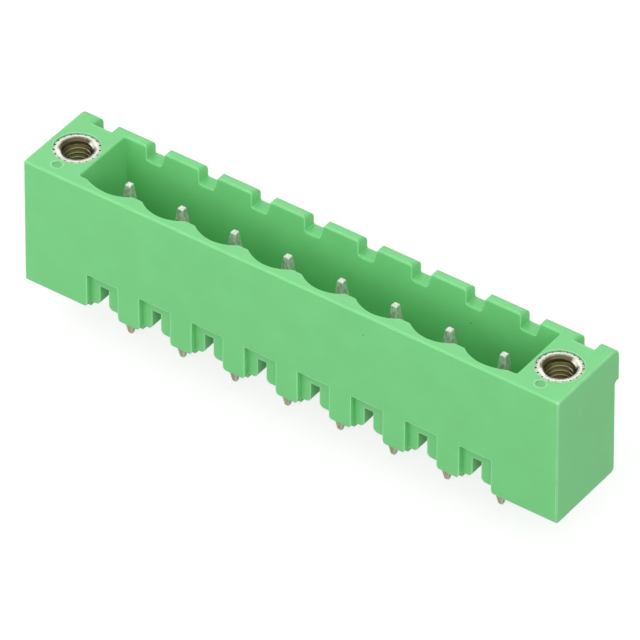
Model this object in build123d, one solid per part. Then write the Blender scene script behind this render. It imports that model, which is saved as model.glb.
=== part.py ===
from build123d import *
import os

# Upright header for a pluggable terminal block, in millimetres.
# X runs along the row of poles, Y from the front wall to the latching rail, Z up from the board.
# The origin lies on the seating plane, in the middle of the pin row.

# Poles and overall body
pole_count = 8
pitch = 5.08                    # pole to pole, and outer pole to threaded insert
insert_to_end = 2.44            # insert axis to the end face, at the rim
end_draft = 0.09                # how much further each end reaches at its foot
body_height = 12.1              # seating plane to rim
body_depth = 7.82               # front face to the plain back face, under the rail
back_draft = 0.12               # how much further the back face reaches at its foot
front_to_pins = 3.75            # front face to the row of pins and inserts
edge_bevel = 0.1                # small bevel of the outer moulded edges
front_foot_round = 0.35         # round under the front face
back_foot_round = 0.5           # round under the back face

# Latching rail along the top of the back wall
rail_reach = 0.52               # how far it stands out behind the back face
rail_height = 3.2               # rim down to its underside
rail_round = 0.85               # large round of its top edge
rail_root_round = 0.2           # inside corner under the rail

# Plug cavity
cavity_depth = 8.2              # rim to cavity floor
block_width = 4.61              # solid end block beside the cavity, at the rim
back_wall = 0.73                # cavity to the plain back face
thin_wall = 0.64                # front wall in front of a pin
ridge_wall = 1.4                # front wall at a ridge between two poles
corner_wall = 1.15              # front wall at the two end corners
corner_length = 1.5             # how far an end corner reaches along the row
scallop_radius = 3.2            # hollow of the front wall round each pole
end_scallop_radius = 4.7        # the flatter outer halves of the two end hollows
ridge_round = 0.3               # upright edges of the ridges
cavity_corner_round = 0.2       # upright corners of the cavity
rim_chamfer = 0.1               # bevel of the cavity's rim

# Crenels cut through the rail at every pole and behind each insert
crenel_depth = 1.42             # rim to crenel floor
crenel_upright_side = 0.8       # pole axis to the upright side
crenel_floor_side = 0.62        # pole axis to the leaning side, at the floor
crenel_lean = 0.38              # how far the leaning side opens by the rim
crenel_round = 0.15             # corners of the crenel floor
crenel_rim_round = 0.3          # its two corners at the rim
crenel_lip_round = 0.2          # front edge of its floor, above the cavity
crenel_before_cavity_back = 0.2 # how far the cut reaches in front of the cavity's back face

# Foot of the front wall: a recess at each pole with a slot through to the pin's chamber
recess_width = 3.0
recess_height = 3.45            # seating plane to the recess's top edge
recess_depth = 0.5
leg_round = 0.6                 # lower corners of the legs beside a recess
tongue_foot = 0.45              # seating plane to the foot of the wall inside a recess
slot_width = 0.84
slot_offset = -0.15             # pole axis to the middle of the slot
slot_height = 2.4               # seating plane to the slot's top edge
slot_flare = 0.45               # round of the slot's two lower corners
chamber_front_wall = 1.9        # front face to the chamber round a pin's root
chamber_back_wall = 2.1         # chamber to the plain back face

# Contact pins, square wire tapered at both ends
pin_side = 1.0
pin_below_rim = 1.24            # rim to the tip of a pin
tail_length = 4.2               # seating plane to the tip of a solder tail
contact_tip_side = 0.54
contact_taper = 2.0
tail_tip_side = 0.4
tail_taper = 1.8
pin_clearance = 0.01            # each side of a pin in its hole

# Threaded inserts
insert_radius = 1.89            # over the knurl
insert_waist_radius = 1.65      # in the groove between the two knurled bands
insert_length = 5.8
knurl_band = 2.2                # length of the upper knurled band
waist_length = 0.8
pilot_length = 0.7              # plain lead-in at the lower end
thread_radius = 1.03            # over the thread crests of an M2.5 insert
insert_mouth_radius = 1.4       # wide end of the countersink
insert_below_rim = 0.08
insert_clearance = 0.03         # round the insert in its seat
screw_relief_radius = 1.4       # room for the screw end below the insert
screw_relief_depth = 9.4        # rim to the bottom of that room

# Shallow round marks on the end blocks
mark_radius = 0.45
mark_depth = 0.08
mark_behind_front = 1.2

overcut = 1.0                   # how far a cutter runs past the face it opens
match_distance = 0.001          # corners closer than this to a line lie on it

# Sizes worked out from the ones above
row_length = (pole_count - 1) * pitch
insert_x = row_length / 2 + pitch
body_length = 2 * (insert_x + insert_to_end)
cavity_length = body_length - 2 * block_width
front_y = -front_to_pins
back_y = front_y + body_depth
rail_y = back_y + rail_reach
cavity_back_y = back_y - back_wall
cavity_floor_z = body_height - cavity_depth
pole_positions = [index * pitch - row_length / 2 for index in range(pole_count)]
crenel_positions = [-insert_x] + pole_positions + [insert_x]

DOWNWARD = (Align.CENTER, Align.CENTER, Align.MAX)     # a solid that hangs from its own origin


def nearest_vertex(shape, x, y):
    """The vertex of a flat sketch that lies nearest to (x, y)."""
    return shape.vertices().sort_by_distance((x, y, 0))[0]


def block(x_low, x_high, y_low, y_high, z_low, z_high):
    """A plain box between two opposite corners."""
    size = (x_high - x_low, y_high - y_low, z_high - z_low)
    return Pos(x_low, y_low, z_low) * Box(*size, align=(Align.MIN, Align.MIN, Align.MIN))


def end_section():
    """Outline of the body seen from its end, with the latching rail; sketch x is Y, sketch y is Z."""
    rail_foot_z = body_height - rail_height
    outline = [
        (front_y, 0),
        (front_y, body_height),
        (rail_y, body_height),
        (rail_y, rail_foot_z),
        (back_y, rail_foot_z),
        (back_y + back_draft, 0),
    ]
    section = make_face(Polyline(*outline, close=True))
    rounds = [
        (front_y, 0, front_foot_round),
        (rail_y, body_height, rail_round),
        (back_y, rail_foot_z, rail_root_round),
        (back_y + back_draft, 0, back_foot_round),
    ]
    for y, z, radius in rounds:
        section = fillet(nearest_vertex(section, y, z), radius)
    return section


def outer_body():
    """The solid bar that the body is cut from, with its outer edges bevelled."""
    half_rim = body_length / 2
    half_foot = half_rim + end_draft
    front_view = [(-half_foot, 0), (-half_rim, body_height), (half_rim, body_height), (half_foot, 0)]
    body = extrude(Plane.YZ * end_section(), amount=half_foot, both=True)
    body &= extrude(Plane.XZ * make_face(Polyline(*front_view, close=True)), amount=body_depth, both=True)
    end_faces = body.faces().sort_by(Axis.X)
    ends = end_faces[0].edges() + end_faces[-1].edges()
    lengthwise = body.edges().filter_by(Axis.X)
    front_rim = lengthwise.sort_by_distance((0, front_y, body_height))[0]
    rail_foot = lengthwise.sort_by_distance((0, rail_y, body_height - rail_height))[0]
    return chamfer(ends + [front_rim, rail_foot], edge_bevel)


def cavity_plan():
    """Plan of the plug cavity: a long room with one hollow for each pole along its front wall."""
    ridge_y = front_y + ridge_wall
    corner_y = front_y + corner_wall
    plan = Pos(0, (ridge_y + cavity_back_y) / 2) * Rectangle(cavity_length, cavity_back_y - ridge_y)
    for side in (-1, 1):
        corner_x = side * (cavity_length - corner_length) / 2
        corner = Rectangle(corner_length, cavity_back_y - corner_y)
        plan += Pos(corner_x, (corner_y + cavity_back_y) / 2) * corner
    row = Pos(0, (front_y + cavity_back_y) / 2) * Rectangle(row_length, cavity_back_y - front_y)
    room = Pos(0, (front_y + cavity_back_y) / 2) * Rectangle(cavity_length, cavity_back_y - front_y)
    for x in pole_positions:
        plan += Pos(x, front_y + thin_wall + scallop_radius) * Circle(scallop_radius) & row
    for x in (pole_positions[0], pole_positions[-1]):
        end_hollow = Pos(x, front_y + thin_wall + end_scallop_radius) * Circle(end_scallop_radius)
        plan += (end_hollow & room) - row
    ridge_corners = [corner for corner in plan.vertices() if abs(corner.Y - ridge_y) < match_distance]
    plan = fillet(ridge_corners, ridge_round)
    room_corners = plan.vertices().group_by(Axis.X)
    return fillet(room_corners[0] + room_corners[-1], cavity_corner_round)


def add_cavity(body):
    """Cut the plug cavity and bevel its rim."""
    body -= Pos(0, 0, cavity_floor_z) * extrude(cavity_plan(), amount=cavity_depth)
    top = body.faces().sort_by(Axis.Z)[-1]
    return chamfer(top.inner_wires()[0].edges(), rim_chamfer)


def crenel_section():
    """Front view of one crenel, open above the rim, upright on one side and leaning on the other."""
    floor_z = body_height - crenel_depth
    over = body_height + overcut
    upright_x = -crenel_upright_side
    leaning_x = crenel_floor_side + crenel_lean
    outline = [
        (upright_x, floor_z),
        (upright_x, body_height),
        (upright_x - overcut, body_height),
        (upright_x - overcut, over),
        (leaning_x + overcut, over),
        (leaning_x + overcut, body_height),
        (leaning_x, body_height),
        (crenel_floor_side, floor_z),
    ]
    section = make_face(Polyline(*outline, close=True))
    section = fillet(section.vertices().group_by(Axis.Y)[0], crenel_round)
    for x in (upright_x, leaning_x):
        section = fillet(nearest_vertex(section, x, body_height), crenel_rim_round)
    return section


def crenel_cutter():
    """Cutter for one crenel on the pole axis, with the round lip of its floor above the cavity."""
    start_y = cavity_back_y - crenel_before_cavity_back
    room = extrude(Plane.XZ.offset(-start_y) * crenel_section(), amount=start_y - rail_y - overcut)
    radius = crenel_lip_round
    lip_foot_z = body_height - crenel_depth - radius
    lip = Pos(cavity_back_y, lip_foot_z + radius / 2) * Rectangle(2 * radius, radius)
    lip -= Pos(cavity_back_y + radius, lip_foot_z) * Circle(radius)
    left = Pos(-crenel_upright_side + crenel_round, 0, 0)
    width = crenel_upright_side + crenel_floor_side - 2 * crenel_round
    return room + left * extrude(Plane.YZ * lip, amount=width)


def flared_opening(width, height, flare):
    """Front view of an opening that stands on y = 0, with rounds that widen it at its foot."""
    opening = Pos(0, height / 2) * Rectangle(width, height)
    foot = Pos(0, flare / 2) * Rectangle(width + 2 * flare, flare)
    for side in (-1, 1):
        foot -= Pos(side * (width / 2 + flare), flare) * Circle(flare)
    return opening + foot


def foot_cutter():
    """Cutter under one pole: the recess in the front wall, the slot and the chamber behind it."""
    front = Plane.XZ.offset(-front_y)
    chamber_front_y = front_y + chamber_front_wall
    half = recess_width / 2
    recess = extrude(front * flared_opening(recess_width, recess_height, leg_round), amount=-recess_depth)
    slot_view = flared_opening(slot_width, slot_height - tongue_foot, slot_flare)
    slot_view = Pos(slot_offset, tongue_foot) * slot_view
    slot = extrude(front * slot_view, amount=-(chamber_front_wall + overcut))
    chamber = block(-half, half, chamber_front_y, back_y - chamber_back_wall, -overcut, slot_height)
    under_tongue = block(-half, half, front_y - overcut, chamber_front_y + overcut, -overcut, tongue_foot)
    return recess + chamber + slot + under_tongue


def pin_hole():
    """Square hole through the cavity floor for one pin."""
    half = pin_side / 2 + pin_clearance
    return block(-half, half, -half, half, 0, cavity_floor_z + overcut)


def insert_seat():
    """Stepped blind hole for one threaded insert, from the rim down."""
    seat_depth = insert_below_rim + insert_length
    seat = Cylinder(insert_radius + insert_clearance, seat_depth, align=DOWNWARD)
    relief = Cylinder(screw_relief_radius, screw_relief_depth, align=DOWNWARD)
    return Pos(0, 0, body_height) * (seat + relief)


def surface_mark():
    """Shallow round mark in front of an insert."""
    mark = Cylinder(mark_radius, mark_depth, align=DOWNWARD)
    return Pos(0, front_y + mark_behind_front, body_height) * mark


def make_housing():
    """The moulded housing, one piece."""
    body = add_cavity(outer_body())
    for x in crenel_positions:
        body -= Pos(x, 0, 0) * crenel_cutter()
    for x in pole_positions:
        body -= Pos(x, 0, 0) * (foot_cutter() + pin_hole())
    for x in (-insert_x, insert_x):
        body -= Pos(x, 0, 0) * (insert_seat() + surface_mark())
    return body


def square_at(side, z):
    """A square on the pin's axis at one height."""
    return Pos(0, 0, z) * Rectangle(side, side)


def make_pin():
    """One contact pin on the pole axis: square wire with a tapered contact and a tapered tail."""
    top_z = body_height - pin_below_rim
    shoulder_z = top_z - contact_taper
    root_z = tail_taper - tail_length
    wire = block(-pin_side / 2, pin_side / 2, -pin_side / 2, pin_side / 2, root_z, shoulder_z)
    contact = loft([square_at(pin_side, shoulder_z), square_at(contact_tip_side, top_z)])
    tail = loft([square_at(tail_tip_side, -tail_length), square_at(pin_side, root_z)])
    return wire + contact + tail


def make_insert():
    """One threaded insert on its axis: two knurled bands, a waist, a pilot and a countersunk bore."""
    top_z = body_height - insert_below_rim
    foot_z = top_z - insert_length
    waist_top_z = top_z - knurl_band
    waist_foot_z = waist_top_z - waist_length
    pilot_z = foot_z + pilot_length
    mouth_z = top_z - (insert_mouth_radius - thread_radius)
    outline = [
        (insert_mouth_radius, top_z),
        (insert_radius, top_z),
        (insert_radius, waist_top_z),
        (insert_waist_radius, waist_top_z),
        (insert_waist_radius, waist_foot_z),
        (insert_radius, waist_foot_z),
        (insert_radius, pilot_z),
        (insert_waist_radius, pilot_z),
        (insert_waist_radius, foot_z),
        (thread_radius, foot_z),
        (thread_radius, mouth_z),
    ]
    return revolve(Plane.XZ * make_face(Polyline(*outline, close=True)), Axis.Z)


def save(solid, node):
    """Write one node."""
    export_step(solid, os.path.join("parts", node + ".step"))


os.makedirs("parts", exist_ok=True)
save(make_housing(), "housing")
for number, x in enumerate(pole_positions, start=1):
    save(Pos(x, 0, 0) * make_pin(), f"pin_{number}")
save(Pos(-insert_x, 0, 0) * make_insert(), "insert_left")
save(Pos(insert_x, 0, 0) * make_insert(), "insert_right")
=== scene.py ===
import math

import bmesh
import bpy
from bpy.props import FloatProperty, FloatVectorProperty, IntProperty, PointerProperty
from mathutils import Matrix, Vector


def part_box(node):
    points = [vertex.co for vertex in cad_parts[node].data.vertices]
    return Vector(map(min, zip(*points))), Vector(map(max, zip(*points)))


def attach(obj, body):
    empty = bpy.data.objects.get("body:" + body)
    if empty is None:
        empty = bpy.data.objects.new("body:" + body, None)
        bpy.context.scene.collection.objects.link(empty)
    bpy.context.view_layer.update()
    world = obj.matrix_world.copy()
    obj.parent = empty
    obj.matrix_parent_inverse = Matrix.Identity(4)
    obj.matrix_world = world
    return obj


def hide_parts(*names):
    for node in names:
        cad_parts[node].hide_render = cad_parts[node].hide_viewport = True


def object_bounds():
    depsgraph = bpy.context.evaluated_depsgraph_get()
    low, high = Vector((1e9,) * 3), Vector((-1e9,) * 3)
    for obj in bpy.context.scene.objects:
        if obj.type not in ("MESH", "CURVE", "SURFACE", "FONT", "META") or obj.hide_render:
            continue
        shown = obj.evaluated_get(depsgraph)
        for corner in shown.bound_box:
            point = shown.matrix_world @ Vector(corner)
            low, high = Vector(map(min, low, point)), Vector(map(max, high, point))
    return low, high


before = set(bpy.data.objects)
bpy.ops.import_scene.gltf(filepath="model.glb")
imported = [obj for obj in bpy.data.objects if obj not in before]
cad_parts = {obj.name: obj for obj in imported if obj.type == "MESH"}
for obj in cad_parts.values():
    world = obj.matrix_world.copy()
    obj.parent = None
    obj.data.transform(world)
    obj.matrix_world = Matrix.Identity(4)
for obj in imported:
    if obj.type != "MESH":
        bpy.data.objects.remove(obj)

bl_info = {
    "name": "Terminal block header",
    "version": (1, 0, 0),
    "blender": (4, 5, 0),
    "location": "View3D > Sidebar > Header",
    "description": "Finishes the moulded header, its pins and its inserts, on a plain stage",
    "category": "Object",
}

MM = 0.001
CAD_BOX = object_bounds()
PINS = sorted(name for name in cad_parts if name.startswith("pin_"))
INSERTS = sorted(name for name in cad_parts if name.startswith("insert_"))
INSERT_X = (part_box("insert_right")[0].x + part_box("insert_right")[1].x) / 2

# Fineness of the meshes: steps round the lathe, round a turn of thread and across a rounded edge
LATHE_STEPS = 96
THREAD_STEPS = 48
ROUNDING_STEPS = 3
SHARP_ANGLE = math.radians(30)

# Share of the rays sent under a surface that stay inside the piece where the painted edge highlight
# is full
EDGE_FULL = 0.78

# Name, side, azimuth, elevation and distance of each lamp, in metres and in degrees as the camera's
LAMPS = (
    ("key", 0.2, -15, 45, 0.2),
    ("front", 0.3, -10, 20, 0.3),
    ("side", 0.3, 60, 38, 0.3),
    ("back", 0.3, 215, 40, 0.7),
    ("rear", 0.3, 180, 12, 0.5),
    ("left", 0.06, -60, 15, 0.12),
)
FLOOR_REACH = 0.6
WHITE = (1, 1, 1, 1)
SQUARE = ((-1, -1), (1, -1), (1, 1), (-1, 1))

COLOUR, NUMBER, VECTOR = "NodeSocketColor", "NodeSocketFloat", "NodeSocketVector"


# Short ways to write properties


def length(name, description, default_mm):
    """A length property, given in millimetres and kept in metres."""
    return FloatProperty(name=name, description=description, default=default_mm * MM,
                         unit="LENGTH", subtype="DISTANCE", precision=5)


def colour(name, description, default):
    """A colour property with linear red, green and blue."""
    return FloatVectorProperty(name=name, description=description, default=default, size=3,
                               min=0, max=1, subtype="COLOR")


def share(name, description, default):
    """A property from 0 to 1."""
    return FloatProperty(name=name, description=description, default=default, min=0, max=1,
                         subtype="FACTOR")


def degrees(name, description, default):
    """An angle property, given in degrees."""
    return FloatProperty(name=name, description=description, default=math.radians(default),
                         unit="ROTATION", subtype="ANGLE")


def plain(name, description, default):
    """A plain number, 0 or more."""
    return FloatProperty(name=name, description=description, default=default, min=0)


class HousingSettings(bpy.types.PropertyGroup):
    """Finish of the moulded housing."""
    green: colour("Green", "Colour of the moulded plastic", (0.205, 0.67, 0.25))
    # The edge colour and the colour on the end corners are painted highlights; the edge radius and
    # strength set how far and how strongly they are painted
    edge: colour("Edge", "Colour of thin edges, where light passes through", (0.5, 0.9, 0.55))
    highlit: colour("Corner highlight", "Colour of the worn line on the end corners", (0.8, 0.97, 0.8))
    speck: colour("Specks", "Colour of the small specks in the plastic", (0.02, 0.16, 0.04))
    edge_radius: length("Edge radius", "How far the lighter edges reach", 0.11)
    edge_strength: share("Edge strength", "Strength of the lighter edges", 0.48)
    mark_radius: length("Mark radius", "Radius of the round marks on the end blocks", 0.41)
    mark_place: length("Mark place", "Front face to the middle of a round mark", 1.17)
    mark_shift: length("Mark shift", "Step of the marks along the row from the inserts", -0.06)
    gloss: share("Gloss", "Strength of the skin's reflections", 0.25)
    roughness: share("Roughness", "Roughness of the moulded skin", 0.4)
    grain_size: length("Grain size", "Size of the fine moulding grain", 0.25)


class PinSettings(bpy.types.PropertyGroup):
    """Shape and finish of the contact pins."""
    contact_tip: length("Contact tip", "Side of the square tip of a contact", 0.54)
    contact_taper: length("Contact taper", "Length of a contact's taper", 2.0)
    tail_tip: length("Tail tip", "Side of the square tip of a tail", 0.4)
    tail_taper: length("Tail taper", "Length of a tail's taper", 1.8)
    rounding: length("Rounding", "Radius of the worn edges and corners", 0.1)
    tin: colour("Tin", "Colour of the tin plating", (0.72, 0.78, 0.67))
    # This colour and the edge radius below paint a highlight along the pins' edges
    glinting: colour("Glinting tin", "Colour of the plating where it is rubbed", (0.72, 0.78, 0.7))
    tail: colour("Tail", "Colour of the solder tails", (0.47, 0.45, 0.26))
    edge_radius: length("Edge radius", "How far the rubbed edges reach", 0.14)
    roughness: share("Roughness", "Roughness of the plating", 0.34)
    grain_size: length("Grain size", "Size of the drawing marks", 0.12)


class InsertSettings(bpy.types.PropertyGroup):
    """Shape and finish of the threaded inserts."""
    teeth: IntProperty(name="Teeth", description="Knurl teeth round an insert", default=19,
                       min=6, max=60)
    tooth_width: length("Tooth width", "Width of a knurl tooth at its root", 0.52)
    tooth_depth: length("Tooth depth", "How far a tooth stands out of the body", 0.16)
    band_height: length("Band height", "Height of the upper knurled band", 2.2)
    waist_height: length("Waist height", "Height of the waist between the bands", 0.8)
    waist_inset: length("Waist inset", "How far the waist lies inside the body", 0.08)
    pilot_height: length("Pilot height", "Height of the plain pilot at the foot", 0.7)
    mouth_radius: length("Mouth radius", "Wide end of the countersink", 1.4)
    cone_depth: length("Countersink depth", "Top face to the start of the thread", 0.22)
    crest_radius: length("Crest radius", "Radius over the crests of the thread", 1.03)
    root_radius: length("Root radius", "Radius at the bottom of the thread", 1.255)
    pitch: length("Thread pitch", "Distance from turn to turn", 0.45)
    nickel: colour("Nickel", "Colour of the plating", (0.35, 0.37, 0.3))
    # The dark countersink colour is a painted dark reflection
    cone: colour("Countersink", "Painted dark reflection in the countersink", (0.075, 0.065, 0.035))
    # This colour, with the edge radius and strength below, paints a highlight along the plating's
    # edges
    highlit: colour("Edge highlight", "Colour of the plating along its edges", (0.5, 0.5, 0.43))
    # Thread colours: the brass tone is the metal's own; the lighter crests are a painted highlight,
    # the darker flanks painted shade, and the lighter bore wall painted light
    crest: colour("Thread crests", "Colour of the crests of the thread", (0.2, 0.19, 0.1))
    flank: colour("Thread flanks", "Colour of the flanks of the thread", (0.05, 0.047, 0.018))
    wall: colour("Bore wall", "Colour of the wall behind the thread", (0.4, 0.37, 0.2))
    # Colour and turn of the highlights painted in two opposite sectors of the mouth and on the
    # thread crests
    glint_colour: colour("Glint", "Colour of the bright sectors in the mouth", (0.75, 0.73, 0.62))
    glint_turn: degrees("Glint turn", "Turn of the bright sectors from +X", 58.0)
    edge_radius: length("Edge radius", "How far the worn edges reach", 0.06)
    edge_strength: share("Edge strength", "Strength of the worn edges outside the mouth", 0.6)
    roughness: share("Roughness", "Roughness of the plating", 0.33)
    grain_size: length("Grain size", "Size of the turning marks", 0.2)


class StageSettings(bpy.types.PropertyGroup):
    """Floor, light and camera."""
    floor: colour("Floor", "Colour of the floor", (0.4, 0.4, 0.4))
    floor_glow: plain("Floor glow", "White that the camera sees on the floor beside its light", 0.7)
    ambient: plain("Ambient", "Strength of the even light all round", 0.45)
    key: plain("Key", "Radiance of the large lamp above and in front", 1.09)
    front: plain("Front", "Radiance of the large low lamp in front", 0.47)
    side: plain("Side", "Radiance of the large lamp on the right", 1.35)
    back: plain("Back", "Radiance of the lamp above and behind", 2.0)
    rear: plain("Rear", "Radiance of the low lamp behind", 1.5)
    left: plain("Left", "Radiance of the small near lamp on the left", 1.2)
    azimuth: degrees("Azimuth", "Camera's turn from straight in front towards +X", 35.309)
    elevation: degrees("Elevation", "Camera's height above the horizon", 39.624)
    roll: degrees("Roll", "Camera's turn about its own line of sight", 0.205)
    distance: length("Distance", "Camera to the point that it looks at", 691.777)
    aim_y: length("Aim Y", "Point that the camera looks at, across the row", 0.25)
    aim_z: length("Aim Z", "Point that the camera looks at, above the board", 6.1)
    leftward: length("Leftward", "Camera's small step to its own left", -0.275)
    downward: length("Downward", "Camera's small step to its own foot", 0.501)
    lens: plain("Lens", "Focal length in millimetres on a 36 mm sensor", 501.525)


# Short ways to build node trees


def put(tree, socket, value):
    """Sets an input to a value, or links it to another socket."""
    if isinstance(value, bpy.types.NodeSocket):
        tree.links.new(value, socket)
    else:
        socket.default_value = value


def node(tree, kind, inputs=(), **settings):
    """A new node; inputs maps a socket's name or number to a value or to a socket to link."""
    made = tree.nodes.new(kind)
    for key, value in settings.items():
        setattr(made, key, value)
    for key, value in dict(inputs).items():
        put(tree, made.inputs[key], value)
    return made


def maths(tree, operation, *values):
    """The result of a Math node on one to three values or sockets."""
    return node(tree, "ShaderNodeMath", dict(enumerate(values)), operation=operation).outputs[0]


def product(tree, first, *others):
    """The product of values or sockets."""
    for other in others:
        first = maths(tree, "MULTIPLY", first, other)
    return first


def ramp(tree, value, zero_at, full_at):
    """A mask that goes from 0 to 1 as the value goes from zero_at to full_at."""
    inputs = {"Value": value, "From Min": zero_at, "From Max": full_at}
    return node(tree, "ShaderNodeMapRange", inputs).outputs[0]


def between(tree, value, low, high, soft):
    """A mask that is 1 from low to high and fades over a soft margin on either side."""
    rise = ramp(tree, value, zero_at=low - soft, full_at=low + soft)
    fall = ramp(tree, value, zero_at=high + soft, full_at=high - soft)
    return product(tree, rise, fall)


def opaque(values):
    """A colour with full alpha."""
    return (*values, 1.0)


def mixed(tree, factor, low, high):
    """A colour that goes from low to high as the factor goes from 0 to 1."""
    inputs = {0: factor, 6: low, 7: high}
    return node(tree, "ShaderNodeMix", inputs, data_type="RGBA").outputs[2]


def shaded(tree, mask, base, shade):
    """A colour that is itself where the mask is 1 and multiplied by the shade where it is 0."""
    return mixed(tree, mask, opaque(Vector(base) * shade), opaque(base))


def object_place(tree):
    """Where on the piece a point of its surface lies."""
    return node(tree, "ShaderNodeTexCoord").outputs["Object"]


def object_axes(tree):
    """Where on the piece a point of its surface lies, as sockets X, Y and Z."""
    return node(tree, "ShaderNodeSeparateXYZ", {0: object_place(tree)}).outputs


def new_group(name, inputs, outputs):
    """An empty shader group with sockets given by name and kind, and its two end nodes."""
    tree = bpy.data.node_groups.new(name, "ShaderNodeTree")
    for socket_name, kind in inputs.items():
        tree.interface.new_socket(socket_name, in_out="INPUT", socket_type=kind)
    for socket_name, kind in outputs.items():
        tree.interface.new_socket(socket_name, in_out="OUTPUT", socket_type=kind)
    return tree, tree.nodes.new("NodeGroupInput"), tree.nodes.new("NodeGroupOutput")


# Finishes


def corner_highlights(tree, depth):
    """A mask for the thin, uneven painted highlight line on the outer corners of the part's two
    ends.
    """
    patches_per_mm = 1.2
    end_reach = 0.35 * MM
    place = object_place(tree)
    patches = node(tree, "ShaderNodeTexNoise",
                   {"Vector": place, "Scale": patches_per_mm / MM, "Detail": 3.0})
    uneven = ramp(tree, patches.outputs[0], zero_at=0.35, full_at=0.6)
    along = node(tree, "ShaderNodeSeparateXYZ", {0: place}).outputs["X"]
    at_end = maths(tree, "GREATER_THAN", maths(tree, "ABSOLUTE", along), CAD_BOX[1].x - end_reach)
    line = ramp(tree, depth, zero_at=0.88, full_at=EDGE_FULL)
    return product(tree, line, uneven, at_end)


def edge_group():
    """Group that paints a lighter highlight on outer edges and on the end corners, and rounds the
    normal at edges.
    """
    name = "Edge tint"
    if name in bpy.data.node_groups:
        return bpy.data.node_groups[name]
    tree, start, end = new_group(
        name,
        {"Colour": COLOUR, "Edge colour": COLOUR, "Highlight colour": COLOUR, "Radius": NUMBER,
         "Strength": NUMBER},
        {"Colour": COLOUR, "Normal": VECTOR},
    )
    given = start.outputs
    half_radius = product(tree, given["Radius"], 0.5)
    bevel = node(tree, "ShaderNodeBevel", {"Radius": half_radius}, samples=6)
    depth = node(tree, "ShaderNodeAmbientOcclusion", {"Distance": given["Radius"]},
                 samples=12, inside=True, only_local=True).outputs["AO"]
    # A lighter colour is painted along the edges as a highlight
    near_edge = ramp(tree, depth, zero_at=0.96, full_at=EDGE_FULL)
    strength = product(tree, near_edge, given["Strength"])
    edge_lit = mixed(tree, strength, given["Colour"], given["Edge colour"])
    # A painted highlight on the outer corners of the two ends
    highlit = mixed(tree, corner_highlights(tree, depth), edge_lit, given["Highlight colour"])
    tree.links.new(highlit, end.inputs["Colour"])
    tree.links.new(bevel.outputs[0], end.inputs["Normal"])
    return tree


def grain_group():
    """Group with fine grain: a height for the bump and a roughness that varies a little."""
    name = "Fine grain"
    if name in bpy.data.node_groups:
        return bpy.data.node_groups[name]
    tree, start, end = new_group(
        name,
        {"Size": NUMBER, "Stretch": VECTOR, "Roughness": NUMBER, "Variation": NUMBER},
        {"Height": NUMBER, "Roughness": NUMBER, "Cloud": NUMBER},
    )
    given = start.outputs
    grains_in_cloud = 12.0
    stretched = node(tree, "ShaderNodeVectorMath", {0: object_place(tree), 1: given["Stretch"]},
                     operation="DIVIDE").outputs[0]
    fine_scale = maths(tree, "DIVIDE", 1.0, given["Size"])
    coarse_scale = maths(tree, "DIVIDE", fine_scale, grains_in_cloud)
    fine = node(tree, "ShaderNodeTexNoise",
                {"Vector": stretched, "Scale": fine_scale, "Detail": 3.0})
    coarse = node(tree, "ShaderNodeTexNoise",
                  {"Vector": stretched, "Scale": coarse_scale, "Detail": 2.0})
    centred = maths(tree, "SUBTRACT", coarse.outputs[0], 0.5)
    varied = maths(tree, "MULTIPLY_ADD", centred, given["Variation"], given["Roughness"])
    tree.links.new(fine.outputs[0], end.inputs["Height"])
    tree.links.new(varied, end.inputs["Roughness"])
    tree.links.new(coarse.outputs[0], end.inputs["Cloud"])
    return tree


def new_material(name, constants):
    """A material with one Principled shader; constants are set on the shader's own sockets."""
    material = bpy.data.materials.new(name)
    material.use_nodes = True
    tree = material.node_tree
    shader = tree.nodes["Principled BSDF"]
    for key, value in constants.items():
        shader.inputs[key].default_value = value
    return material, tree, shader


def use_grain(tree, shader, size, stretch, roughness, variation, bump_height):
    """Puts the grain group and its bump in a material, and gives back both nodes."""
    grain = node(tree, "ShaderNodeGroup",
                 {"Size": size, "Stretch": stretch, "Roughness": roughness,
                  "Variation": variation}, node_tree=grain_group())
    bump = node(tree, "ShaderNodeBump",
                {"Height": grain.outputs["Height"], "Distance": bump_height, "Strength": 1.0})
    tree.links.new(bump.outputs[0], shader.inputs["Normal"])
    tree.links.new(grain.outputs["Roughness"], shader.inputs["Roughness"])
    return grain, bump


def use_edges(tree, shader, base, edge, radius, strength, highlit=None, bump=None):
    """Puts the edge group in a material: its colour with the painted edge highlights, and its
    normal under a bump where given.
    """
    highlight_colour = opaque(edge if highlit is None else highlit)
    tint = node(tree, "ShaderNodeGroup",
                {"Colour": base, "Edge colour": opaque(edge), "Highlight colour": highlight_colour,
                 "Radius": radius, "Strength": strength}, node_tree=edge_group())
    tree.links.new(tint.outputs["Colour"], shader.inputs["Base Color"])
    if bump:
        tree.links.new(tint.outputs["Normal"], bump.inputs["Normal"])


def from_upright_axes(tree, axes, shift, y):
    """Distance from the nearer of two upright axes, at a shift along the row from the inserts."""
    moved = maths(tree, "SUBTRACT", axes["X"], shift)
    across = maths(tree, "SUBTRACT", maths(tree, "ABSOLUTE", moved), INSERT_X)
    along = maths(tree, "SUBTRACT", axes["Y"], y)
    squares = maths(tree, "ADD", maths(tree, "POWER", across, 2.0),
                    maths(tree, "POWER", along, 2.0))
    return maths(tree, "SQRT", squares)


def with_specks(tree, settings, base):
    """The base colour with rare small dark specks."""
    spacing = 2.5 * MM
    size_in_cell = 0.045
    rarity = 0.82
    strength = 0.6
    cells = node(tree, "ShaderNodeTexVoronoi",
                 {"Vector": object_place(tree), "Scale": 1.0 / spacing, "Randomness": 1.0})
    inside = maths(tree, "LESS_THAN", cells.outputs["Distance"], size_in_cell)
    drawn = node(tree, "ShaderNodeSeparateColor", {0: cells.outputs["Color"]}).outputs[0]
    rare = maths(tree, "GREATER_THAN", drawn, rarity)
    return mixed(tree, product(tree, inside, rare, strength), base, opaque(settings.speck))


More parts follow.
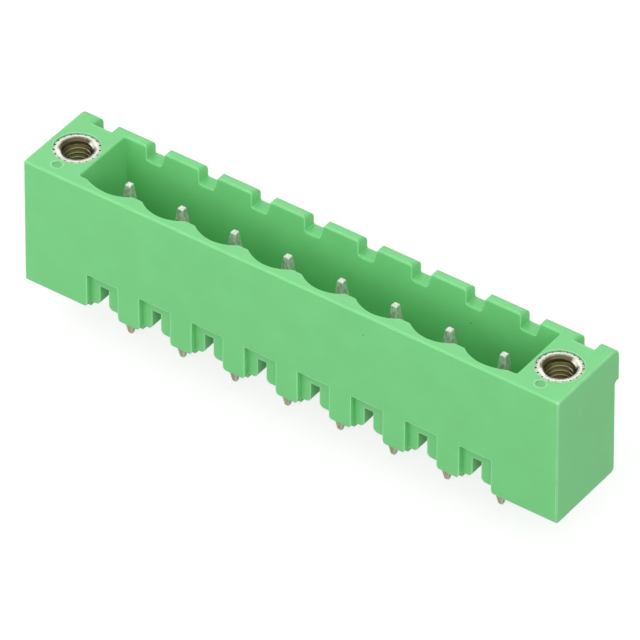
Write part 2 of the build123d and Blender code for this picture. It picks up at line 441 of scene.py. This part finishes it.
def with_marks(tree, settings, base):
    """The base colour with a darker disc in a thin light ring on each end block: painted shade in
    the mark's shallow recess and a painted highlight on its lip.
    """
    radius = settings.mark_radius
    disc_blur = 0.04 * MM
    disc_shade = 0.8
    ring_gap = 0.03 * MM
    ring_width = 0.1 * MM
    ring_blur = 0.05 * MM
    ring_strength = 0.25
    rim_depth = 0.3 * MM
    axes = object_axes(tree)
    away = from_upright_axes(tree, axes, settings.mark_shift, CAD_BOX[0].y + settings.mark_place)
    near_rim = maths(tree, "GREATER_THAN", axes["Z"], CAD_BOX[1].z - rim_depth)
    # Painted shade on the disc and a painted highlight on the ring round it
    disc = ramp(tree, away, zero_at=radius + disc_blur, full_at=radius - disc_blur)
    ring_start = radius + ring_gap
    ring = between(tree, away, ring_start, ring_start + ring_width, ring_blur)
    disc_colour = opaque(Vector(settings.green) * disc_shade)
    marked = mixed(tree, product(tree, disc, near_rim), base, disc_colour)
    ring_share = product(tree, ring, near_rim, ring_strength)
    return mixed(tree, ring_share, marked, opaque(settings.edge))


def plastic_material(settings):
    """Green moulded plastic: slow clouds, specks, marks, painted highlights on edges and corners,
    and a fine grain.
    """
    material, tree, shader = new_material("Green moulded plastic", {
        "IOR": 1.5,
        "Specular IOR Level": settings.gloss,
        "Subsurface Weight": 0.4,
        "Subsurface Radius": (0.35, 1.0, 0.45),
        "Subsurface Scale": 1.0 * MM,
    })
    grain, _ = use_grain(tree, shader, settings.grain_size, stretch=(1.0, 1.0, 1.0),
                         roughness=settings.roughness, variation=0.12, bump_height=0.004 * MM)
    green = Vector(settings.green)
    dark, light = green * 0.93, green * 1.05
    clouds = mixed(tree, grain.outputs["Cloud"], opaque(dark), opaque(light))
    marked = with_marks(tree, settings, with_specks(tree, settings, clouds))
    use_edges(tree, shader, marked, settings.edge, settings.edge_radius, settings.edge_strength,
              highlit=settings.highlit)
    return material


def tin_material(settings):
    """Tin-plated square wire with drawing marks along it, duller tails and a painted highlight
    along its edges.
    """
    material, tree, shader = new_material("Tin plated wire", {"Metallic": 0.35})
    grain, bump = use_grain(tree, shader, settings.grain_size, stretch=(1.0, 1.0, 3.0),
                            roughness=settings.roughness, variation=0.25, bump_height=0.02 * MM)
    marks = ramp(tree, grain.outputs["Height"], zero_at=0.38, full_at=0.62)
    contacts = shaded(tree, marks, settings.tin, shade=0.5)
    tails = shaded(tree, marks, settings.tail, shade=0.6)
    on_tail = maths(tree, "LESS_THAN", object_axes(tree)["Z"], 0.0)
    both = mixed(tree, on_tail, contacts, tails)
    # Painted highlight along the edges of the pins
    use_edges(tree, shader, both, settings.glinting, settings.edge_radius, strength=1.0, bump=bump)
    return material


def glint_sectors(tree, axes, radius, angle):
    """A mask with two opposite sectors round each insert where a highlight is painted, as turned
    metal shows bright sectors.
    """
    middle = product(tree, maths(tree, "SIGN", axes["X"]), INSERT_X)
    across = product(tree, maths(tree, "SUBTRACT", axes["X"], middle), math.cos(angle))
    along = product(tree, axes["Y"], math.sin(angle))
    cosine = maths(tree, "DIVIDE", maths(tree, "ADD", across, along), radius)
    squared = maths(tree, "POWER", maths(tree, "ABSOLUTE", cosine), 2.0)
    return ramp(tree, squared, zero_at=0.84, full_at=0.98)


def plated_colour(tree, settings, grain, radius, lobes):
    """Colour of the speckled ring and the countersink, whose dark colour is a painted dark
    reflection, both with painted highlights in two sectors.
    """
    ring_reach = 0.2 * MM
    ring_glint_share = 0.8
    glint_colour = opaque(settings.glint_colour)
    speckle = ramp(tree, grain.outputs["Height"], zero_at=0.35, full_at=0.65)
    plating = shaded(tree, speckle, settings.nickel, shade=0.4)
    near_mouth = maths(tree, "LESS_THAN", radius, settings.mouth_radius + ring_reach)
    # Painted highlights in the two sectors, on the ring near the mouth and in the countersink
    ring = mixed(tree, product(tree, lobes, near_mouth, ring_glint_share), plating, glint_colour)
    # The countersink colour is a painted dark reflection
    cone = mixed(tree, lobes, opaque(settings.cone), glint_colour)
    in_cone = maths(tree, "LESS_THAN", radius, settings.mouth_radius)
    return mixed(tree, in_cone, ring, cone)


def thread_colour(tree, settings, radius, lobes):
    """Colour of the crests with painted highlights, the flanks darker with painted shade, and the
    wall behind them lighter with painted light.
    """
    crest_start = settings.crest_radius + 0.02 * MM
    crest_end = settings.crest_radius + 0.06 * MM
    wall_start = settings.root_radius + 0.01 * MM
    # Painted highlights on the crests, painted shade on the flanks and painted light on the wall
    # behind
    crest = mixed(tree, lobes, opaque(settings.crest), opaque(settings.glint_colour))
    past_crest = ramp(tree, radius, zero_at=crest_start, full_at=crest_end)
    flanks = mixed(tree, past_crest, crest, opaque(settings.flank))
    behind = maths(tree, "GREATER_THAN", radius, wall_start)
    return mixed(tree, behind, flanks, opaque(settings.wall))


def nickel_material(settings):
    """Nickel-plated insert whose thread shows yellow-brown metal inside the mouth."""
    bore_margin = 0.05 * MM
    foot_blur = 0.03 * MM
    material, tree, shader = new_material("Nickel plated brass", {"Metallic": 1.0})
    grain, bump = use_grain(tree, shader, settings.grain_size, stretch=(1.0, 1.0, 1.0),
                            roughness=settings.roughness, variation=0.2, bump_height=0.004 * MM)
    axes = object_axes(tree)
    radius = from_upright_axes(tree, axes, 0.0, 0.0)
    lobes = glint_sectors(tree, axes, radius, settings.glint_turn)
    in_bore = maths(tree, "LESS_THAN", radius, settings.root_radius + bore_margin)
    cone_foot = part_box(INSERTS[0])[1].z - settings.cone_depth
    deep = ramp(tree, axes["Z"], zero_at=cone_foot + foot_blur, full_at=cone_foot - foot_blur)
    plated = plated_colour(tree, settings, grain, radius, lobes)
    threaded = thread_colour(tree, settings, radius, lobes)
    both = mixed(tree, product(tree, in_bore, deep), plated, threaded)
    outside = maths(tree, "GREATER_THAN", radius, settings.mouth_radius)
    # Painted highlight along the edges outside the mouth
    use_edges(tree, shader, both, settings.highlit, settings.edge_radius,
              product(tree, outside, settings.edge_strength), bump=bump)
    return material


def dress(node_name, material):
    """Gives a CAD node one material."""
    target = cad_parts[node_name]
    for slot in target.material_slots:
        slot.material = material
    if not target.material_slots:
        target.data.materials.append(material)


# Short ways to build meshes


def add_object(name, data):
    """A new object in the scene."""
    made = bpy.data.objects.new(name, data)
    bpy.context.scene.collection.objects.link(made)
    return made


def join_rings(shape, ring, following):
    """Four-sided faces between two closed rings with as many points."""
    for i in range(len(ring)):
        j = (i + 1) % len(ring)
        shape.faces.new((ring[i], ring[j], following[j], following[i]))


def as_object(name, shape):
    """Turns a bmesh into an object, and frees it."""
    mesh = bpy.data.meshes.new(name)
    shape.to_mesh(mesh)
    shape.free()
    return add_object(name, mesh)


# Pins


def make_pin(node_name, settings, material):
    """One square pin with tapered ends and rounded edges, in the place of its CAD node."""
    low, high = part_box(node_name)
    side = high.x - low.x
    centre = (low + high) / 2
    sections = (
        (low.z, settings.tail_tip),
        (low.z + settings.tail_taper, side),
        (high.z - settings.contact_taper, side),
        (high.z, settings.contact_tip),
    )
    shape = bmesh.new()
    rings = []
    for z, width in sections:
        points = [(centre.x + i * width / 2, centre.y + j * width / 2, z) for i, j in SQUARE]
        rings.append([shape.verts.new(point) for point in points])
    shape.faces.new(rings[0])
    shape.faces.new(rings[-1])
    for ring, following in zip(rings, rings[1:]):
        join_rings(shape, ring, following)
    bmesh.ops.recalc_face_normals(shape, faces=shape.faces)
    bmesh.ops.bevel(shape, geom=shape.verts[:] + shape.edges[:], offset=settings.rounding,
                    segments=ROUNDING_STEPS, profile=0.5, affect="EDGES", clamp_overlap=True)
    made = as_object(node_name.replace("pin", "contact"), shape)
    made.data.materials.append(material)
    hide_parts(node_name)
    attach(made, "root")


# Inserts


def lathe(name, profile, centre):
    """A closed ring turned from a profile of (radius, height) points about an upright axis."""
    shape = bmesh.new()
    rings = []
    for step in range(LATHE_STEPS):
        angle = step * 2 * math.pi / LATHE_STEPS
        turn = Vector((math.cos(angle), math.sin(angle), 0))
        points = [centre + turn * radius + Vector((0, 0, z)) for radius, z in profile]
        rings.append([shape.verts.new(point) for point in points])
    for step, ring in enumerate(rings):
        join_rings(shape, ring, rings[(step + 1) % LATHE_STEPS])
    bmesh.ops.recalc_face_normals(shape, faces=shape.faces)
    return as_object(name, shape)


def insert_profile(settings, outer, height):
    """Section of an insert: plated ring, waist, pilot, threaded bore and countersink."""
    edge = 0.03 * MM
    wall_gap = 0.02 * MM
    body = outer - settings.tooth_depth
    waist = body - settings.waist_inset
    bore = settings.root_radius + wall_gap
    throat = settings.root_radius - edge
    waist_top = height - settings.band_height
    waist_foot = waist_top - settings.waist_height
    cone_foot = height - settings.cone_depth
    return [
        (settings.mouth_radius, height - edge / 2),
        (settings.mouth_radius + edge, height),
        (body, height),
        (body, waist_top),
        (waist, waist_top),
        (waist, waist_foot),
        (body, waist_foot),
        (body, settings.pilot_height),
        (waist, settings.pilot_height),
        (waist, 0),
        (bore, 0),
        (bore, cone_foot - edge),
        (throat, cone_foot),
    ]


def insert_tree():
    """Geometry nodes that add two bands of knurl teeth and a thread to a turned blank."""
    tree = bpy.data.node_groups.new("Knurl and thread", "GeometryNodeTree")
    sizes = ("Outer radius", "Tooth width", "Tooth depth", "Upper band top", "Upper band height",
             "Lower band top", "Lower band height", "Root radius", "Thread pitch",
             "Thread turns", "Thread foot")
    inputs = {"Geometry": "NodeSocketGeometry", "Axis foot": VECTOR, "Teeth": "NodeSocketInt",
              **dict.fromkeys(sizes, NUMBER), "Material": "NodeSocketMaterial"}
    for name, kind in inputs.items():
        tree.interface.new_socket(name, in_out="INPUT", socket_type=kind)
    tree.interface.new_socket("Geometry", in_out="OUTPUT", socket_type="NodeSocketGeometry")
    given = tree.nodes.new("NodeGroupInput").outputs
    added = node(tree, "GeometryNodeJoinGeometry")
    for part in (band(tree, given, "Upper band top", "Upper band height"),
                 band(tree, given, "Lower band top", "Lower band height"),
                 thread(tree, given)):
        tree.links.new(part, added.inputs[0])
    placed = moved_geometry(tree, added.outputs[0], given["Axis foot"])
    joined = node(tree, "GeometryNodeJoinGeometry")
    tree.links.new(given["Geometry"], joined.inputs[0])
    tree.links.new(placed, joined.inputs[0])
    real = node(tree, "GeometryNodeRealizeInstances", {0: joined.outputs[0]})
    covered = node(tree, "GeometryNodeSetMaterial",
                   {"Geometry": real.outputs[0], "Material": given["Material"]})
    end = tree.nodes.new("NodeGroupOutput")
    tree.links.new(covered.outputs[0], end.inputs[0])
    return tree


def moved_geometry(tree, geometry, step):
    """The geometry moved by a vector."""
    inputs = {"Geometry": geometry, "Translation": step}
    return node(tree, "GeometryNodeTransform", inputs).outputs[0]


def along_z(tree, height):
    """A vector with a Z and nothing else."""
    return node(tree, "ShaderNodeCombineXYZ", {2: height}).outputs[0]


def band(tree, given, top, height):
    """Knurl teeth in one band: a wedge narrowed to its outer face, instanced round a circle."""
    # An outer corner's step in Y as a share of its Y, and the teeth's middle in tooth depths
    narrowing = -0.2
    depths_inside = 1.03
    root = product(tree, given["Tooth depth"], 2.0)
    size = node(tree, "ShaderNodeCombineXYZ", {0: root, 1: given["Tooth width"], 2: given[height]})
    tooth = node(tree, "GeometryNodeMeshCube", {"Size": size.outputs[0]})
    position = node(tree, "GeometryNodeInputPosition").outputs[0]
    place = node(tree, "ShaderNodeSeparateXYZ", {0: position}).outputs
    outer_side = maths(tree, "GREATER_THAN", place["X"], 0.0)
    inwards = product(tree, outer_side, place["Y"], narrowing)
    offset = node(tree, "ShaderNodeCombineXYZ", {1: inwards})
    wedge = node(tree, "GeometryNodeSetPosition",
                 {"Geometry": tooth.outputs["Mesh"], "Offset": offset.outputs[0]})
    circle_radius = maths(tree, "SUBTRACT", given["Outer radius"],
                          product(tree, given["Tooth depth"], depths_inside))
    circle = node(tree, "GeometryNodeMeshCircle",
                  {"Vertices": given["Teeth"], "Radius": circle_radius})
    step = maths(tree, "DIVIDE", 2 * math.pi, given["Teeth"])
    angle = product(tree, node(tree, "GeometryNodeInputIndex").outputs[0], step)
    teeth = node(tree, "GeometryNodeInstanceOnPoints",
                 {"Points": circle.outputs[0], "Instance": wedge.outputs[0],
                  "Rotation": along_z(tree, angle)})
    middle = maths(tree, "MULTIPLY_ADD", given[height], -0.5, given[top])
    return moved_geometry(tree, teeth.outputs[0], along_z(tree, middle))


def thread(tree, given):
    """A V thread: a square set on its corner, swept along a helix."""
    height = product(tree, given["Thread pitch"], given["Thread turns"])
    helix = node(tree, "GeometryNodeCurveSpiral",
                 {"Resolution": THREAD_STEPS, "Rotations": given["Thread turns"],
                  "Start Radius": given["Root radius"], "End Radius": given["Root radius"],
                  "Height": height})
    upright = node(tree, "GeometryNodeSetCurveNormal", {0: helix.outputs[0]})
    upright.mode = "Z_UP"
    half_pitch = product(tree, given["Thread pitch"], 0.5)
    square = node(tree, "GeometryNodeCurvePrimitiveCircle",
                  {"Resolution": 4, "Radius": half_pitch})
    swept = node(tree, "GeometryNodeCurveToMesh",
                 {"Curve": upright.outputs[0], "Profile Curve": square.outputs[0],
                  "Fill Caps": True})
    return moved_geometry(tree, swept.outputs[0], along_z(tree, given["Thread foot"]))


def run_tree(made, tree, values):
    """Runs geometry nodes on an object once and keeps the result as its plain mesh."""
    modifier = made.modifiers.new(tree.name, "NODES")
    modifier.node_group = tree
    sockets = tree.interface.items_tree
    names = {item.name: item.identifier for item in sockets if item.in_out == "INPUT"}
    for name, value in values.items():
        modifier[names[name]] = value
    depsgraph = bpy.context.evaluated_depsgraph_get()
    mesh = bpy.data.meshes.new_from_object(made.evaluated_get(depsgraph))
    made.modifiers.clear()
    made.data = mesh
    mesh.shade_smooth()
    mesh.set_sharp_from_angle(angle=SHARP_ANGLE)


def make_insert(node_name, settings, tree, material):
    """One threaded insert in the place of its CAD node."""
    band_drop = 0.01 * MM
    low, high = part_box(node_name)
    foot = Vector(((low.x + high.x) / 2, (low.y + high.y) / 2, low.z))
    outer = (high.x - low.x) / 2
    height = high.z - low.z
    side = node_name.split("_")[1]
    made = lathe(f"threaded_insert_{side}", insert_profile(settings, outer, height), foot)
    made.data.materials.append(material)
    waist_foot = height - settings.band_height - settings.waist_height
    run_tree(made, tree, {
        "Axis foot": foot,
        "Teeth": settings.teeth,
        "Outer radius": outer,
        "Tooth width": settings.tooth_width,
        "Tooth depth": settings.tooth_depth,
        "Upper band top": height - band_drop,
        "Upper band height": settings.band_height,
        "Lower band top": waist_foot,
        "Lower band height": waist_foot - settings.pilot_height,
        "Root radius": settings.root_radius,
        "Thread pitch": settings.pitch,
        "Thread turns": (height - settings.cone_depth - settings.pitch) / settings.pitch,
        "Thread foot": settings.pitch / 2,
        "Material": material,
    })
    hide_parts(node_name)
    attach(made, "root")


# Stage


def direction(azimuth, elevation):
    """Unit vector from the object to a viewer at that azimuth and elevation, in radians."""
    across = math.cos(elevation)
    return Vector((math.sin(azimuth) * across, -math.cos(azimuth) * across, math.sin(elevation)))


def panel_lamp(name, radiance, size, azimuth, elevation, distance):
    """A square lamp that faces the object, placed as LAMPS says."""
    data = bpy.data.lights.new(name, "AREA")
    data.shape = "SQUARE"
    data.size = size
    data.energy = radiance * math.pi * size * size
    lamp = add_object(name, data)
    away = direction(math.radians(azimuth), math.radians(elevation))
    lamp.location = away * distance
    lamp.rotation_euler = away.to_track_quat("Z", "Y").to_euler()


def seen_directly(tree):
    """1 for rays from the camera, from a shiny surface or through glass, and 0 for the rest."""
    path = node(tree, "ShaderNodeLightPath").outputs
    shiny = maths(tree, "MAXIMUM", path["Is Glossy Ray"], path["Is Transmission Ray"])
    return maths(tree, "MAXIMUM", path["Is Camera Ray"], shiny)


def make_world(settings):
    """White to the camera, and an even soft light for the rest."""
    world = bpy.data.worlds.new("Even white")
    bpy.context.scene.world = world
    world.use_nodes = True
    tree = world.node_tree
    strength = node(tree, "ShaderNodeMapRange",
                    {"Value": seen_directly(tree), "To Min": settings.ambient, "To Max": 1.0})
    background = tree.nodes["Background"]
    background.inputs["Color"].default_value = WHITE
    tree.links.new(strength.outputs[0], background.inputs["Strength"])


def make_floor(settings):
    """A wide pale floor under the solder tails, white to the camera where no shadow falls."""
    mesh = bpy.data.meshes.new("floor")
    points = [(i * FLOOR_REACH, j * FLOOR_REACH, CAD_BOX[0].z) for i, j in SQUARE]
    mesh.from_pydata(points, [], [(0, 1, 2, 3)])
    floor = add_object("floor", mesh)
    material = bpy.data.materials.new("Pale floor")
    material.use_nodes = True
    tree = material.node_tree
    tree.nodes.clear()
    matt = node(tree, "ShaderNodeBsdfDiffuse", {"Color": opaque(settings.floor)})
    glow = node(tree, "ShaderNodeEmission",
                {"Strength": product(tree, seen_directly(tree), settings.floor_glow)})
    both = node(tree, "ShaderNodeAddShader", {0: matt.outputs[0], 1: glow.outputs[0]})
    node(tree, "ShaderNodeOutputMaterial", {"Surface": both.outputs[0]})
    floor.data.materials.append(material)


def make_camera(settings):
    """A camera at the photograph's viewing angle."""
    away = direction(settings.azimuth, settings.elevation)
    level = Vector((math.cos(settings.azimuth), math.sin(settings.azimuth), 0))
    upward = away.cross(level)
    right = level * math.cos(settings.roll) + upward * math.sin(settings.roll)
    up = upward * math.cos(settings.roll) - level * math.sin(settings.roll)
    aim = Vector((0, settings.aim_y, settings.aim_z))
    place = aim + away * settings.distance - right * settings.leftward - up * settings.downward
    data = bpy.data.cameras.new("camera")
    data.sensor_width = 36.0
    data.lens = settings.lens
    data.clip_end = 10.0
    camera = add_object("camera", data)
    turn = Matrix((right, up, away)).transposed().to_4x4()
    camera.matrix_world = Matrix.Translation(place) @ turn
    bpy.context.scene.camera = camera


# Operators, one for each group of pieces and one for the stage


class HEADER_OT_housing(bpy.types.Operator):
    """Finish the moulded housing in green plastic"""
    bl_idname = "header.housing"
    bl_label = "Finish housing"

    def execute(self, context):
        dress("housing", plastic_material(context.scene.header_housing))
        return {"FINISHED"}


class HEADER_OT_pins(bpy.types.Operator):
    """Make the contact pins in tin"""
    bl_idname = "header.pins"
    bl_label = "Make pins"

    def execute(self, context):
        settings = context.scene.header_pins
        material = tin_material(settings)
        for name in PINS:
            make_pin(name, settings, material)
        return {"FINISHED"}


class HEADER_OT_inserts(bpy.types.Operator):
    """Make the knurled and threaded inserts"""
    bl_idname = "header.inserts"
    bl_label = "Make inserts"

    def execute(self, context):
        settings = context.scene.header_inserts
        material = nickel_material(settings)
        tree = insert_tree()
        for name in INSERTS:
            make_insert(name, settings, tree, material)
        return {"FINISHED"}


class HEADER_OT_stage(bpy.types.Operator):
    """Set the floor, the light and the camera"""
    bl_idname = "header.stage"
    bl_label = "Set stage"

    def execute(self, context):
        settings = context.scene.header_stage
        make_world(settings)
        make_floor(settings)
        for name, *place in LAMPS:
            panel_lamp(name, getattr(settings, name), *place)
        make_camera(settings)
        context.scene.view_settings.view_transform = "Standard"
        return {"FINISHED"}


OPERATORS = (HEADER_OT_housing, HEADER_OT_pins, HEADER_OT_inserts, HEADER_OT_stage)
SETTINGS = {
    "header_housing": HousingSettings,
    "header_pins": PinSettings,
    "header_inserts": InsertSettings,
    "header_stage": StageSettings,
}


class HEADER_PT_panel(bpy.types.Panel):
    """Sidebar panel with the settings and operators of the header"""
    bl_idname = "HEADER_PT_panel"
    bl_label = "Terminal block header"
    bl_space_type = "VIEW_3D"
    bl_region_type = "UI"
    bl_category = "Header"

    def draw(self, context):
        for (name, group), operator in zip(SETTINGS.items(), OPERATORS):
            box = self.layout.box()
            box.operator(operator.bl_idname)
            for field in group.__annotations__:
                box.prop(getattr(context.scene, name), field)


def register():
    """Registers the classes and puts the settings on the scene."""
    for group in (*SETTINGS.values(), *OPERATORS, HEADER_PT_panel):
        bpy.utils.register_class(group)
    for name, group in SETTINGS.items():
        setattr(bpy.types.Scene, name, PointerProperty(type=group))


def unregister():
    """Takes the settings off the scene and removes the classes."""
    for name in SETTINGS:
        delattr(bpy.types.Scene, name)
    for group in (HEADER_PT_panel, *reversed(OPERATORS), *reversed(SETTINGS.values())):
        bpy.utils.unregister_class(group)


def main():
    """Builds everything in order."""
    register()
    bpy.ops.header.housing()
    bpy.ops.header.pins()
    bpy.ops.header.inserts()
    bpy.ops.header.stage()


if __name__ == "__main__":
    main()
